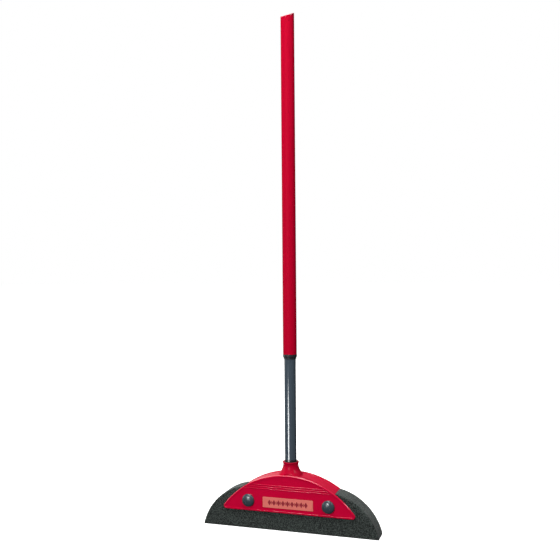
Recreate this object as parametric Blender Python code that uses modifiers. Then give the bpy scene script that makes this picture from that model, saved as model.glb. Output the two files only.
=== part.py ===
"""A foam-block carpet sweeper on a two-part telescopic handle.

Metres, +Z up. The origin is the middle of the foam's sole. The head runs along X, its front plate faces -Y,
and the handle stands on the Z axis.
"""

import math

import bmesh
import bpy
from mathutils import Vector

# Clearances
GAP = 0.0003  # between pieces that touch on the real object
SCREW_GAP = 0.0003  # between the thread's ridge and its groove
SLIDE_GAP = 0.00025  # between the tubes and what slides in them
GRIP_GAP = 0.00035  # between the lock sleeve and the tube that it grips
HOLE_GAP = 0.0003  # around a stud or a rod in its hole

# Foam block
FOAM_HALF_WIDTH = 0.166
FOAM_THICKNESS = 0.038
FOAM_SIDE_RADIUS = 0.1005
FOAM_SIDE_DROP = 0.0225  # the side arcs' centres lie this far below the sole

# Bridge: arched band, web and neck. Band and plates share one arc centre, straight below the band's top.
BAND_TOP_Z = 0.1012
BAND_RADIUS = 0.1542
BAND_THICKNESS = 0.0035
BAND_HALF_ANGLE = math.radians(34.2)
WEB_THICKNESS = 0.004
WEB_EDGE = 0.0085  # web beyond the studs' axes, to the sides
WEB_BELOW_STUDS = 0.01
WEB_SHOULDER_ABOVE_STUDS = 0.014
WEB_SHOULDER_STEP = 0.008
NECK_HEIGHT = 0.0226
NECK_LIP_HEIGHT = 0.002
NECK_LIP_OVERHANG = 0.0009
NECK_LIP_CHAMFER = 0.0005
NECK_WALL = 0.0023  # around the washer's seat
NECK_FLARE_WIDTH = 0.0079
NECK_FLARE_HEIGHT = 0.0168
NECK_FLARE_POWER = 1.75  # how the flare opens with the depth below its start
BOSS_WALL = 0.0033
BOSS_FLOOR = 0.002
BOSS_CLEARANCE = 0.0055  # under the ferrule's tip

# Plates
RIM_PROUD = 0.0008  # the plates' rims stand this far above the band
PLATE_BOTTOM_Z = 0.0333
PLATE_CORNER_RADIUS = 0.005
PLATE_FLOOR = 0.0023
RIM_WIDTH = 0.003
RIM_HEIGHT = 0.0008
RIB_COUNT = 3
RIB_BELOW_TOP = 0.019
RIB_PITCH = 0.0036
RIB_HEIGHT = 0.0016
RIB_BELOW_RIM = 0.0001

# Badges
BADGE_FROM_STUDS = 0.01625  # between the badge and the studs' heads
BADGE_HEIGHT = 0.019
BADGE_CORNER_RADIUS = 0.001
BADGE_Z = 0.0512
BADGE_THICKNESS = 0.001
BADGE_RECESS = 0.0008

# Studs
STUD_FROM_RIM = 0.0385  # from the plate's curved edge, level with the studs
STUD_ABOVE_PLATE_BOTTOM = 0.0187
STUD_HEAD_RADIUS = 0.01175
STUD_HEAD_HEIGHT = 0.0065
STUD_HEAD_EDGE = 0.0012
STUD_SHANK_RADIUS = 0.004
STUD_BORE_RADIUS = 0.0026
STUD_BORE_END = 0.001  # between the bore's end and the head's seat
STUD_SHANK_SHORT = 0.0012  # the shank ends this far inside the far plate's outer face
STUD_PIN_SHORT = 0.005  # the pin ends this far from the far head's seat

# Handle thread
THREAD_PITCH = 0.005
THREAD_TURNS = 4
THREAD_CREST_RADIUS = 0.0096
THREAD_DEPTH = 0.0015
THREAD_CREST_WIDTH = 0.0012
THREAD_ROOT_WIDTH = 0.0022
THREAD_SINK = 0.0006  # how deep the ridge's foot lies inside the core
THREAD_ABOVE_TIP = 0.003
GROOVE_LEAD = math.radians(25)  # the groove starts this far before the ridge
FERRULE_SHAFT_LENGTH = 0.0316
FERRULE_BORE_RADIUS = 0.0055
FERRULE_CHAMFER = 0.0008
COLLAR_BEARING = 0.001  # how far the collar reaches over the washer
COLLAR_HEIGHT = 0.003
SPIGOT_LENGTH = 0.025
WASHER_HEIGHT = 0.0013
WASHER_WIDTH = 0.0024

# Handle tubes
INNER_RADIUS = 0.0106
OUTER_RADIUS = 0.0125
TUBE_WALL = 0.0006
INNER_TUBE_LENGTH = 0.5476
INNER_TUBE_SHOWING = 0.1841
OUTER_TUBE_LENGTH = 0.6201  # along its axis, with the end cap
FLANGE_HEIGHT = 0.0079
FLANGE_OVERHANG = 0.00025
FLANGE_CHAMFER = 0.0012
BUSH_LENGTH = 0.04
CRIMP_ABOVE_TUBE_END = 0.0112
CRIMP_BALL_RADIUS = 0.0022
CRIMP_DEPTH = 0.0004
CRIMP_FIRST_TURN = math.radians(-20)  # from straight front towards +X
CRIMP_COUNT = 4

# Slanted top end
SLANT_ANGLE = math.radians(23.4)
SLANT_TURN = math.radians(-21)  # the way the face looks, from straight front towards +X
CAP_HEAD = 0.002
CAP_PLUG_LENGTH = 0.033
CAP_WALL = 0.002
CAP_SOLID = 0.02

# Twist lock
PLUG_LENGTH = 0.02
PLUG_FLANGE = 0.003
ROD_RADIUS = 0.003
ROD_SUNK = 0.015
SLEEVE_ABOVE_PLUG = 0.0055
SLEEVE_HEIGHT = 0.025
SLEEVE_ROOF = 0.003
SLEEVE_WALL_BOTTOM = 0.0014
SLEEVE_TAPER = math.radians(8)
SLOT_WIDTH = 0.002
SLOT_COUNT = 4
SLOT_BELOW_ROOF = 0.001
CONE_HEIGHT = 0.012
CONE_ABOVE_SLEEVE_END = 0.0035
CONE_KEY_WIDTH = 0.0012
CONE_KEY_REACH = 0.0008
STOP_HEIGHT = 0.0045
STOP_WALL = 0.0027
ROD_ABOVE_STOP = 0.0022

# Fineness, and how far a cutter reaches past what it cuts
ROUND_STEPS = 36
STUD_STEPS = 28
THREAD_STEPS = 20
ARCH_STEPS = 32
SIDE_STEPS = 12
CORNER_STEPS = 6
PAST = 0.002

# Worked out from the sizes above
ARCH_CENTRE_Z = BAND_TOP_Z - BAND_RADIUS
BAND_INNER_RADIUS = BAND_RADIUS - BAND_THICKNESS
PLATE_RADIUS = BAND_RADIUS + RIM_PROUD
PLATE_INNER_Y = FOAM_THICKNESS / 2 + GAP
PLATE_FLOOR_Y = PLATE_INNER_Y + PLATE_FLOOR
PLATE_RIM_Y = PLATE_FLOOR_Y + RIM_HEIGHT
STUD_Z = PLATE_BOTTOM_Z + STUD_ABOVE_PLATE_BOTTOM
STUD_X = math.sqrt(PLATE_RADIUS**2 - (STUD_Z - ARCH_CENTRE_Z) ** 2) - STUD_FROM_RIM
STUD_HOLE_RADIUS = STUD_SHANK_RADIUS + HOLE_GAP
BADGE_WIDTH = 2 * (STUD_X - STUD_HEAD_RADIUS - BADGE_FROM_STUDS)
THREAD_ROOT_RADIUS = THREAD_CREST_RADIUS - THREAD_DEPTH
WASHER_BORE_RADIUS = THREAD_CREST_RADIUS + SCREW_GAP
WASHER_RADIUS = WASHER_BORE_RADIUS + WASHER_WIDTH
NECK_TOP_Z = BAND_TOP_Z + NECK_HEIGHT
NECK_LIP_RADIUS = WASHER_RADIUS + GAP + NECK_WALL
NECK_WAIST_RADIUS = NECK_LIP_RADIUS - NECK_LIP_OVERHANG
WASHER_SEAT_Z = NECK_TOP_Z - WASHER_HEIGHT - GAP
COLLAR_RADIUS = WASHER_BORE_RADIUS + COLLAR_BEARING
COLLAR_BOTTOM_Z = NECK_TOP_Z + GAP
COLLAR_TOP_Z = COLLAR_BOTTOM_Z + COLLAR_HEIGHT
FERRULE_TIP_Z = COLLAR_BOTTOM_Z - FERRULE_SHAFT_LENGTH
THREAD_START_Z = FERRULE_TIP_Z + THREAD_ABOVE_TIP
BOSS_RADIUS = WASHER_BORE_RADIUS + BOSS_WALL
BOSS_BOTTOM_Z = FERRULE_TIP_Z - BOSS_CLEARANCE - BOSS_FLOOR
INNER_BORE_RADIUS = INNER_RADIUS - TUBE_WALL
OUTER_BORE_RADIUS = OUTER_RADIUS - TUBE_WALL
INNER_BOTTOM_Z = COLLAR_TOP_Z + GAP
INNER_TOP_Z = INNER_BOTTOM_Z + INNER_TUBE_LENGTH
FLANGE_BOTTOM_Z = INNER_BOTTOM_Z + INNER_TUBE_SHOWING
FLANGE_TOP_Z = FLANGE_BOTTOM_Z + FLANGE_HEIGHT
OUTER_BOTTOM_Z = FLANGE_TOP_Z + GAP
HANDLE_TOP_Z = OUTER_BOTTOM_Z + OUTER_TUBE_LENGTH  # where the slanted face crosses the axis
ROD_HOLE_RADIUS = ROD_RADIUS + HOLE_GAP
PLUG_TOP_Z = INNER_TOP_Z + GAP + PLUG_FLANGE
SLEEVE_RADIUS = OUTER_BORE_RADIUS - GRIP_GAP
SLEEVE_BOTTOM_Z = PLUG_TOP_Z + SLEEVE_ABOVE_PLUG
SLEEVE_TOP_Z = SLEEVE_BOTTOM_Z + SLEEVE_HEIGHT
SLEEVE_ROOF_Z = SLEEVE_TOP_Z - SLEEVE_ROOF
STOP_TOP_Z = SLEEVE_TOP_Z + GAP + STOP_HEIGHT
SLANT = Vector(
    (
        math.sin(SLANT_ANGLE) * math.sin(SLANT_TURN),
        -math.sin(SLANT_ANGLE) * math.cos(SLANT_TURN),
        math.cos(SLANT_ANGLE),
    )
)


# Scene, materials and collections


def clear_scene():
    for obj in list(bpy.data.objects):
        bpy.data.objects.remove(obj)


def collection(name):
    made = bpy.data.collections.new(name)
    bpy.context.scene.collection.children.link(made)
    return made


def principled(name, colour, roughness, metallic=0.0):
    made = bpy.data.materials.new(name)
    made.use_nodes = True
    shader = made.node_tree.nodes["Principled BSDF"]
    shader.inputs["Base Color"].default_value = (*colour, 1.0)
    shader.inputs["Roughness"].default_value = roughness
    shader.inputs["Metallic"].default_value = metallic
    return made


clear_scene()
PARTS = collection("carpet_sweeper")
HELPERS = collection("helpers")

RED_PLASTIC = principled("red_plastic", (0.48, 0.004, 0.03), 0.28)
RED_GRAINED = principled("red_grained_plastic", (0.42, 0.004, 0.028), 0.5)
RED_PAINT = principled("red_painted_steel", (0.43, 0.004, 0.02), 0.25)
GREY_PAINT = principled("grey_painted_steel", (0.05, 0.075, 0.1), 0.22)
GREY_PLASTIC = principled("grey_plastic", (0.055, 0.08, 0.1), 0.3)
DARK_PLASTIC = principled("dark_plastic", (0.03, 0.035, 0.04), 0.45)
WHITE_PLASTIC = principled("white_plastic", (0.6, 0.6, 0.57), 0.5)
PALE_INLAY = principled("pale_inlay", (0.6, 0.17, 0.13), 0.45)
FOAM = principled("foam", (0.045, 0.05, 0.048), 0.95)
RUBBER = principled("rubber", (0.02, 0.02, 0.02), 0.8)
ZINC = principled("zinc_plated_steel", (0.6, 0.6, 0.58), 0.3, 1.0)


# Shape makers


def add(name, mesh, look):
    """Puts a mesh in the scene: a part when it has a look, or else a helper that shapes one."""
    obj = bpy.data.objects.new(name, mesh)
    if look:
        mesh.materials.append(look)
        PARTS.objects.link(obj)
    else:
        obj.hide_render = True
        obj.display_type = "WIRE"
        HELPERS.objects.link(obj)
    return obj


def turned(name, profile, look=None, ring=False, steps=ROUND_STEPS):
    """A shape turned about Z from (radius, z) points that run down its outer side."""
    mesh = bpy.data.meshes.new(name)
    edges = [(i, i + 1) for i in range(len(profile) - 1)]
    if ring:
        edges.append((len(profile) - 1, 0))
    mesh.from_pydata([(radius, 0, z) for radius, z in profile], edges, [])
    obj = add(name, mesh, look)
    screw = obj.modifiers.new("turn", "SCREW")
    screw.steps = steps
    screw.render_steps = steps
    screw.use_merge_vertices = True
    screw.merge_threshold = 0.00001
    screw.use_smooth_shade = True
    return obj


def ring(name, outer, inner, bottom, top, look=None):
    profile = [(outer, top), (outer, bottom), (inner, bottom), (inner, top)]
    return turned(name, profile, look, ring=True)


def rod(name, radius, bottom, top, look=None, steps=ROUND_STEPS):
    profile = [(0, top), (radius, top), (radius, bottom), (0, bottom)]
    return turned(name, profile, look, steps=steps)


def slab(name, outline, y_from, y_to, look=None):
    """A flat sheet of an (x, z) outline, thick from one y to the other."""
    middle = (y_from + y_to) / 2
    mesh = bpy.data.meshes.new(name)
    mesh.from_pydata([(x, middle, z) for x, z in outline], [], [range(len(outline))])
    obj = add(name, mesh, look)
    solidify = obj.modifiers.new("thickness", "SOLIDIFY")
    solidify.thickness = abs(y_to - y_from)
    solidify.offset = 0
    return obj


def combine(body, helper, operation):
    """Joins a helper to a body (UNION), cuts it away (DIFFERENCE) or keeps what both share (INTERSECT)."""
    boolean = body.modifiers.new(f"{operation.lower()}_{helper.name}", "BOOLEAN")
    boolean.operation = operation
    boolean.solver = "EXACT"
    boolean.object = helper


def face_y(obj, side):
    """Turns a shape made along Z so that it looks to the front (side -1) or the rear (side 1)."""
    obj.rotation_euler.x = -side * math.pi / 2
    return obj


# Outlines in the XZ plane, as (x, z) points


def arc(centre, radius, start, end, steps):
    """Points along an arc. Angles are from straight up towards +X."""
    angles = [start + (end - start) * i / steps for i in range(steps + 1)]
    return [(centre[0] + radius * math.sin(a), centre[1] + radius * math.cos(a)) for a in angles]


def rectangle(half_width, bottom, top):
    return [(-half_width, bottom), (-half_width, top), (half_width, top), (half_width, bottom)]


def rounded_rectangle(half_width, half_height, radius, centre_z):
    points = []
    for quarter, (x, z) in enumerate(((1, 1), (1, -1), (-1, -1), (-1, 1))):
        centre = (x * (half_width - radius), centre_z + z * (half_height - radius))
        start = quarter * math.pi / 2
        points += arc(centre, radius, start, start + math.pi / 2, CORNER_STEPS // 2)
    return points


def band_outline(inner, outer):
    out = arc((0, ARCH_CENTRE_Z), outer, -BAND_HALF_ANGLE, BAND_HALF_ANGLE, ARCH_STEPS)
    back = arc((0, ARCH_CENTRE_Z), inner, BAND_HALF_ANGLE, -BAND_HALF_ANGLE, ARCH_STEPS)
    return out + back


def web_outline(clearance, top_radius):
    """The web below the band, narrower above its shoulders."""
    wide = STUD_X + WEB_EDGE + clearance
    narrow = wide - WEB_SHOULDER_STEP
    bottom = STUD_Z - WEB_BELOW_STUDS - clearance
    shoulder = STUD_Z + WEB_SHOULDER_ABOVE_STUDS + clearance
    turn = math.asin(narrow / top_radius)
    left = [(-wide, bottom), (-wide, shoulder - WEB_SHOULDER_STEP), (-narrow, shoulder)]
    top = arc((0, ARCH_CENTRE_Z), top_radius, -turn, turn, ARCH_STEPS)
    right = [(-x, z) for x, z in reversed(left)]
    return left + top + right


def plate_outline(inset):
    """A segment of a circle with a straight lower edge and rounded ends."""
    radius = PLATE_RADIUS - inset
    corner = PLATE_CORNER_RADIUS - inset
    corner_z = PLATE_BOTTOM_Z + PLATE_CORNER_RADIUS
    reach = PLATE_RADIUS - PLATE_CORNER_RADIUS
    corner_x = math.sqrt(reach**2 - (corner_z - ARCH_CENTRE_Z) ** 2)
    turn = math.atan2(corner_x, corner_z - ARCH_CENTRE_Z)
    top = arc((0, ARCH_CENTRE_Z), radius, -turn, turn, ARCH_STEPS)
    right = arc((corner_x, corner_z), corner, turn, math.pi, CORNER_STEPS)
    left = [(-x, z) for x, z in reversed(right)]
    return top[1:-1] + right + left


def foam_outline():
    """Flat sole, round sides, and a lower arch between them where the band lies."""
    centre_x = FOAM_HALF_WIDTH - math.sqrt(FOAM_SIDE_RADIUS**2 - FOAM_SIDE_DROP**2)
    centre = Vector((centre_x, -FOAM_SIDE_DROP))
    step = BAND_HALF_ANGLE + GAP / BAND_RADIUS
    ray = Vector((math.sin(step), math.cos(step)))
    from_centre = Vector((0, ARCH_CENTRE_Z)) - centre
    along = from_centre.dot(ray)
    reach = -along + math.sqrt(along**2 - from_centre.length_squared + FOAM_SIDE_RADIUS**2)
    step_top = Vector((0, ARCH_CENTRE_Z)) + reach * ray - centre
    first = math.atan2(step_top.x, step_top.y)
    last = math.atan2(FOAM_HALF_WIDTH - centre_x, FOAM_SIDE_DROP)
    right = arc(centre, FOAM_SIDE_RADIUS, first, last, SIDE_STEPS)
    left = [(-x, z) for x, z in reversed(right)]
    top = arc((0, ARCH_CENTRE_Z), BAND_INNER_RADIUS - GAP, -step, step, ARCH_STEPS)
    return left + top + right


# Head


def stud_hole(name, x):
    reach = PLATE_RIM_Y + PAST
    hole = face_y(rod(name, STUD_HOLE_RADIUS, -reach, reach, steps=STUD_STEPS), -1)
    hole.location = (x, 0, STUD_Z)
    return hole


def foam_block(stud_holes):
    half = FOAM_THICKNESS / 2
    foam = slab("foam_block", foam_outline(), -half, half, FOAM)
    pocket_half = WEB_THICKNESS / 2 + GAP
    slot = slab("web_slot", web_outline(GAP, BAND_RADIUS), -pocket_half, pocket_half)
    pocket = rod("boss_pocket", BOSS_RADIUS + GAP, BOSS_BOTTOM_Z - GAP, NECK_TOP_Z)
    for cutter in (slot, pocket, *stud_holes):
        combine(foam, cutter, "DIFFERENCE")


def thread(name, clearance, start_turn, turns):
    """One helical ridge of trapezium section, or with a clearance the groove that takes it."""
    foot = THREAD_ROOT_RADIUS - THREAD_SINK
    crest = THREAD_CREST_RADIUS + clearance
    slope = (THREAD_ROOT_WIDTH - THREAD_CREST_WIDTH) / 2 / THREAD_DEPTH
    half_crest = THREAD_CREST_WIDTH / 2 + clearance
    half_foot = half_crest + slope * (crest - foot)
    middle = THREAD_START_Z + THREAD_PITCH * start_turn / (2 * math.pi)
    section = [
        (foot, 0, middle - half_foot),
        (crest, 0, middle - half_crest),
        (crest, 0, middle + half_crest),
        (foot, 0, middle + half_foot),
    ]
    steps = round(turns * THREAD_STEPS)
    mesh_maker = bmesh.new()
    face = mesh_maker.faces.new([mesh_maker.verts.new(point) for point in section])
    bmesh.ops.spin(
        mesh_maker,
        geom=[face, *face.edges, *face.verts],
        axis=(0, 0, 1),
        dvec=(0, 0, THREAD_PITCH / THREAD_STEPS),
        angle=2 * math.pi * steps / THREAD_STEPS,
        steps=steps,
    )
    bmesh.ops.recalc_face_normals(mesh_maker, faces=mesh_maker.faces)
    mesh = bpy.data.meshes.new(name)
    mesh_maker.to_mesh(mesh)
    mesh_maker.free()
    obj = add(name, mesh, None)
    obj.rotation_euler.z = start_turn
    return obj


def neck():
    """The neck's outside: lip, waist, a flare onto the band, and the boss under it."""
    lip_bottom = NECK_TOP_Z - NECK_LIP_HEIGHT
    steps = 8
    flare = [
        (
            NECK_WAIST_RADIUS + NECK_FLARE_WIDTH * (step / steps) ** NECK_FLARE_POWER,
            BAND_TOP_Z + NECK_FLARE_HEIGHT * (1 - step / steps),
        )
        for step in range(steps + 1)
    ]
    in_band_z = BAND_TOP_Z - BAND_THICKNESS / 2
    profile = [
        (0, NECK_TOP_Z),
        (NECK_LIP_RADIUS - NECK_LIP_CHAMFER, NECK_TOP_Z),
        (NECK_LIP_RADIUS, NECK_TOP_Z - NECK_LIP_CHAMFER),
        (NECK_LIP_RADIUS, lip_bottom),
        (NECK_WAIST_RADIUS, lip_bottom - NECK_LIP_OVERHANG),
        *flare,
        (NECK_WAIST_RADIUS + NECK_FLARE_WIDTH, in_band_z),
        (BOSS_RADIUS, in_band_z),
        (BOSS_RADIUS, BOSS_BOTTOM_Z),
        (0, BOSS_BOTTOM_Z),
    ]
    return turned("neck", profile)


def bridge(stud_holes):
    half = FOAM_THICKNESS / 2
    body = slab("bridge", band_outline(BAND_INNER_RADIUS, BAND_RADIUS), -half, half, RED_GRAINED)
    web_top = BAND_INNER_RADIUS + BAND_THICKNESS / 2
    web = slab("web", web_outline(0, web_top), -WEB_THICKNESS / 2, WEB_THICKNESS / 2)
    above = NECK_TOP_Z + PAST
    width_limit = slab("width_limit", rectangle(BAND_RADIUS, 0, above), -half, half)
    combine(body, web, "UNION")
    combine(body, neck(), "UNION")
    combine(body, width_limit, "INTERSECT")
    bore = rod("neck_bore", THREAD_ROOT_RADIUS + SCREW_GAP, BOSS_BOTTOM_Z + BOSS_FLOOR, above)
    seat = rod("washer_seat", WASHER_RADIUS + GAP, WASHER_SEAT_Z, above)
    groove_turns = (NECK_TOP_Z - THREAD_START_Z) / THREAD_PITCH + GROOVE_LEAD / (2 * math.pi)
    groove = thread("neck_groove", SCREW_GAP, -GROOVE_LEAD, groove_turns)
    for cutter in (bore, seat, *stud_holes, groove):
        combine(body, cutter, "DIFFERENCE")


def socket_washer():
    bottom = WASHER_SEAT_Z + GAP
    ring("socket_washer", WASHER_RADIUS, WASHER_BORE_RADIUS, bottom, bottom + WASHER_HEIGHT, RUBBER)


def plate(end, side, stud_holes):
    """A plate with a raised rim and ribs, and a recess for its badge."""
    body = slab(f"{end}_plate", plate_outline(0), side * PLATE_INNER_Y, side * PLATE_RIM_Y, RED_PLASTIC)
    beyond = PLATE_RIM_Y + PAST
    field = slab(f"{end}_field", plate_outline(RIM_WIDTH), side * PLATE_FLOOR_Y, side * beyond)
    combine(body, field, "DIFFERENCE")
    rib_root_y = PLATE_FLOOR_Y - PLATE_FLOOR / 2
    rib_top_y = PLATE_RIM_Y - RIB_BELOW_RIM
    rib_reach = PLATE_RADIUS - RIM_WIDTH / 2
    for number in range(RIB_COUNT):
        top = ARCH_CENTRE_Z + PLATE_RADIUS - RIB_BELOW_TOP - number * RIB_PITCH
        half_chord = math.sqrt(rib_reach**2 - (top - ARCH_CENTRE_Z) ** 2)
        outline = rectangle(half_chord, top - RIB_HEIGHT, top)
        rib = slab(f"{end}_rib_{number + 1}", outline, side * rib_root_y, side * rib_top_y)
        combine(body, rib, "UNION")
    recess_outline = rounded_rectangle(
        BADGE_WIDTH / 2 + GAP, BADGE_HEIGHT / 2 + GAP, BADGE_CORNER_RADIUS + GAP, BADGE_Z
    )
    recess_y = PLATE_FLOOR_Y - BADGE_RECESS
    recess = slab(f"{end}_recess", recess_outline, side * recess_y, side * beyond)
    for cutter in (recess, *stud_holes):
        combine(body, cutter, "DIFFERENCE")


def badge(end, side):
    outline = rounded_rectangle(BADGE_WIDTH / 2, BADGE_HEIGHT / 2, BADGE_CORNER_RADIUS, BADGE_Z)
    inner_y = PLATE_FLOOR_Y - BADGE_RECESS + GAP
    outer_y = inner_y + BADGE_THICKNESS
    slab(f"badge_{end}", outline, side * inner_y, side * outer_y, PALE_INLAY)


def dome():
    """A stud head's profile from its apex to its seat, as heights above the seat."""
    rise = STUD_HEAD_HEIGHT - STUD_HEAD_EDGE
    steps = 8
    angles = [math.pi / 2 * (1 - i / steps) for i in range(steps + 1)]
    crown = [(STUD_HEAD_RADIUS * math.cos(a), STUD_HEAD_EDGE + rise * math.sin(a)) for a in angles]
    crown[0] = (0, STUD_HEAD_HEIGHT)
    return [*crown, (STUD_HEAD_RADIUS, 0)]


def studs(where, x):
    """Two domed halves: the front one's hollow shank goes through the head and takes the rear one's pin."""
    seat_y = PLATE_FLOOR_Y + GAP
    shank = seat_y + PLATE_RIM_Y - STUD_SHANK_SHORT
    pin = STUD_BORE_RADIUS - HOLE_GAP
    pin_length = 2 * seat_y - STUD_PIN_SHORT
    head = [(radius, seat_y + height) for radius, height in dome()]
    front_profile = [
        *head,
        (STUD_SHANK_RADIUS, seat_y),
        (STUD_SHANK_RADIUS, seat_y - shank),
        (STUD_BORE_RADIUS, seat_y - shank),
        (STUD_BORE_RADIUS, seat_y - STUD_BORE_END),
        (0, seat_y - STUD_BORE_END),
    ]
    rear_profile = [*head, (pin, seat_y), (pin, seat_y - pin_length), (0, seat_y - pin_length)]
    for end, side, profile in (("front", -1, front_profile), ("rear", 1, rear_profile)):
        stud = face_y(turned(f"{end}_stud_{where}", profile, GREY_PLASTIC, steps=STUD_STEPS), side)
        stud.location = (x, 0, STUD_Z)


# Lower handle


def thread_ferrule():
    """The handle's lower plug: broom thread, collar on the neck, and a spigot up inside the tube."""
    spigot = INNER_BORE_RADIUS - GAP
    top = COLLAR_TOP_Z + SPIGOT_LENGTH
    profile = [
        (spigot, top),
        (spigot, COLLAR_TOP_Z),
        (COLLAR_RADIUS, COLLAR_TOP_Z),
        (COLLAR_RADIUS, COLLAR_BOTTOM_Z + FERRULE_CHAMFER),
        (COLLAR_RADIUS - FERRULE_CHAMFER, COLLAR_BOTTOM_Z),
        (THREAD_ROOT_RADIUS, COLLAR_BOTTOM_Z),
        (THREAD_ROOT_RADIUS, FERRULE_TIP_Z + FERRULE_CHAMFER),
        (THREAD_ROOT_RADIUS - FERRULE_CHAMFER, FERRULE_TIP_Z),
        (FERRULE_BORE_RADIUS, FERRULE_TIP_Z),
        (FERRULE_BORE_RADIUS, top),
    ]
    body = turned("thread_ferrule", profile, DARK_PLASTIC, ring=True)
    combine(body, thread("ferrule_ridge", 0, 0, THREAD_TURNS), "UNION")


def inner_tube():
    tube = ring("inner_tube", INNER_RADIUS, INNER_BORE_RADIUS, INNER_BOTTOM_Z, INNER_TOP_Z, GREY_PAINT)
    reach = INNER_RADIUS + CRIMP_BALL_RADIUS - CRIMP_DEPTH
    for number in range(CRIMP_COUNT):
        turn = CRIMP_FIRST_TURN + number * 2 * math.pi / CRIMP_COUNT
        mesh_maker = bmesh.new()
        bmesh.ops.create_uvsphere(mesh_maker, u_segments=16, v_segments=10, radius=CRIMP_BALL_RADIUS)
        mesh = bpy.data.meshes.new("crimp_ball")
        mesh_maker.to_mesh(mesh)
        mesh_maker.free()
        ball = add(f"crimp_ball_{number + 1}", mesh, None)
        crimp_z = INNER_BOTTOM_Z + CRIMP_ABOVE_TUBE_END
        ball.location = (reach * math.sin(turn), -reach * math.cos(turn), crimp_z)
        combine(tube, ball, "DIFFERENCE")


# Twist lock inside the outer tube


def lock_plug():
    bottom = INNER_TOP_Z - PLUG_LENGTH
    plug = INNER_BORE_RADIUS - GAP
    hole_bottom = PLUG_TOP_Z - ROD_SUNK - GAP
    profile = [
        (0, hole_bottom),
        (ROD_HOLE_RADIUS, hole_bottom),
        (ROD_HOLE_RADIUS, PLUG_TOP_Z),
        (INNER_RADIUS, PLUG_TOP_Z),
        (INNER_RADIUS, INNER_TOP_Z + GAP),
        (plug, INNER_TOP_Z + GAP),
        (plug, bottom),
        (0, bottom),
    ]
    turned("lock_plug", profile, WHITE_PLASTIC)


def lock_stud():
    rod("lock_stud", ROD_RADIUS, PLUG_TOP_Z - ROD_SUNK, STOP_TOP_Z + ROD_ABOVE_STOP, ZINC, steps=20)


def sleeve_inner_radius(z):
    """The sleeve's tapered inside, widest at its lower end."""
    return SLEEVE_RADIUS - SLEEVE_WALL_BOTTOM - (z - SLEEVE_BOTTOM_Z) * math.tan(SLEEVE_TAPER)


def lock_sleeve():
    profile = [
        (SLEEVE_RADIUS, SLEEVE_TOP_Z),
        (SLEEVE_RADIUS, SLEEVE_BOTTOM_Z),
        (sleeve_inner_radius(SLEEVE_BOTTOM_Z), SLEEVE_BOTTOM_Z),
        (sleeve_inner_radius(SLEEVE_ROOF_Z), SLEEVE_ROOF_Z),
        (ROD_HOLE_RADIUS, SLEEVE_ROOF_Z),
        (ROD_HOLE_RADIUS, SLEEVE_TOP_Z),
    ]
    body = turned("lock_sleeve", profile, WHITE_PLASTIC, ring=True)
    slot_top = SLEEVE_ROOF_Z - SLOT_BELOW_ROOF
    slot_outline = rectangle(SLOT_WIDTH / 2, SLEEVE_BOTTOM_Z - PAST, slot_top)
    for number in range(SLOT_COUNT):
        slot = slab(f"sleeve_slot_{number + 1}", slot_outline, ROD_HOLE_RADIUS + PAST, 2 * SLEEVE_RADIUS)
        slot.rotation_euler.z = number * 2 * math.pi / SLOT_COUNT
        combine(body, slot, "DIFFERENCE")


def lock_cone():
    """The cone nut, with two keys in the sleeve's slots so that both turn together."""
    bottom = SLEEVE_BOTTOM_Z + CONE_ABOVE_SLEEVE_END
    top = bottom + CONE_HEIGHT
    profile = [
        (sleeve_inner_radius(top) - GAP, top),
        (sleeve_inner_radius(bottom) - GAP, bottom),
        (ROD_HOLE_RADIUS, bottom),
        (ROD_HOLE_RADIUS, top),
    ]
    body = turned("lock_cone", profile, WHITE_PLASTIC, ring=True)
    key_outline = rectangle(CONE_KEY_WIDTH / 2, bottom, bottom + CONE_HEIGHT / 2)
    reach = sleeve_inner_radius(bottom) + CONE_KEY_REACH
    for number, side in enumerate((-1, 1)):
        key = slab(f"cone_key_{number + 1}", key_outline, side * (ROD_HOLE_RADIUS + PAST), side * reach)
        combine(body, key, "UNION")


def lock_stop():
    outer = ROD_HOLE_RADIUS + STOP_WALL
    ring("lock_stop", outer, ROD_HOLE_RADIUS, SLEEVE_TOP_Z + GAP, STOP_TOP_Z, ZINC)


# Upper handle


def guide_collar():
    """A flange under the outer tube's mouth, and a bush up inside it that guides the inner tube."""
    inner = INNER_RADIUS + SLIDE_GAP
    bush = OUTER_BORE_RADIUS - SLIDE_GAP
    flange = OUTER_RADIUS + FLANGE_OVERHANG
    profile = [
        (bush, FLANGE_TOP_Z + BUSH_LENGTH),
        (bush, FLANGE_TOP_Z),
        (flange, FLANGE_TOP_Z),
        (flange, FLANGE_BOTTOM_Z + FLANGE_CHAMFER),
        (flange - FLANGE_CHAMFER, FLANGE_BOTTOM_Z),
        (inner, FLANGE_BOTTOM_Z),
        (inner, FLANGE_TOP_Z + BUSH_LENGTH),
    ]
    turned("guide_collar", profile, DARK_PLASTIC, ring=True)


def half_space(name, axis_z, above):
    """A block on one side of the slanted plane that crosses the handle's axis at this height."""
    size = 4 * OUTER_RADIUS
    mesh_maker = bmesh.new()
    bmesh.ops.create_cube(mesh_maker, size=size)
    mesh = bpy.data.meshes.new(name)
    mesh_maker.to_mesh(mesh)
    mesh_maker.free()
    block = add(name, mesh, None)
    block.rotation_euler = Vector((0, 0, 1)).rotation_difference(SLANT).to_euler()
    block.location = Vector((0, 0, axis_z)) + SLANT * size / 2 * (1 if above else -1)
    return block


def outer_tube():
    reach = HANDLE_TOP_Z + OUTER_RADIUS
    tube = ring("outer_tube", OUTER_RADIUS, OUTER_BORE_RADIUS, OUTER_BOTTOM_Z, reach, RED_PAINT)
    combine(tube, half_space("tube_end", HANDLE_TOP_Z - CAP_HEAD - GAP, True), "DIFFERENCE")


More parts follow.
